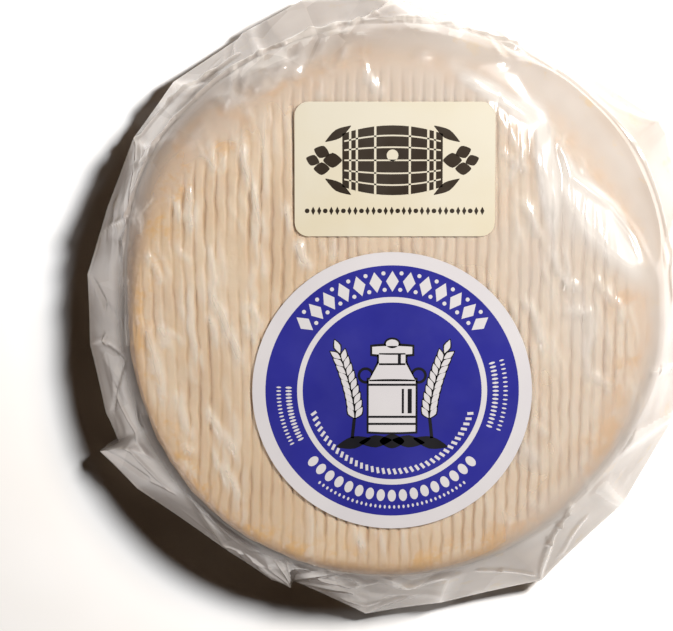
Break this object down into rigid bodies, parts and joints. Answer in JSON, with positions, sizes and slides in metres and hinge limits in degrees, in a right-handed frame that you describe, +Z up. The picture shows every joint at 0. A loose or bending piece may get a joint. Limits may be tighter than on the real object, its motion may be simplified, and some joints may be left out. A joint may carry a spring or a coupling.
{
  "type": "beer-washed cheese",
  "caption": "Round flat wheel of soft washed-rind cheese folded into a milky film wrap, its ribbed face carrying a round printed label and a cream rectangular one.",
  "frame": {"origin": "middle of the flat base that the wheel rests on, at the centre of the box round the whole", "axes": "+Z up out of the labelled face, +Y from the round label towards the cream label, along the ribs, +X to the right of both labels as they read"},
  "size_m": [0.229, 0.2368, 0.0467],
  "materials": {
    "wrap": "milky translucent film over a cream and ochre washed rind",
    "blue_label_paper": "smooth white paper printed in ultramarine blue",
    "cream_label_paper": "smooth cream paper"
  },
  "bodies": {
    "root": {"wrapped_cheese": "wrap", "round_label": "blue_label_paper", "cream_label": "cream_label_paper"}
  },
  "joints": []
}
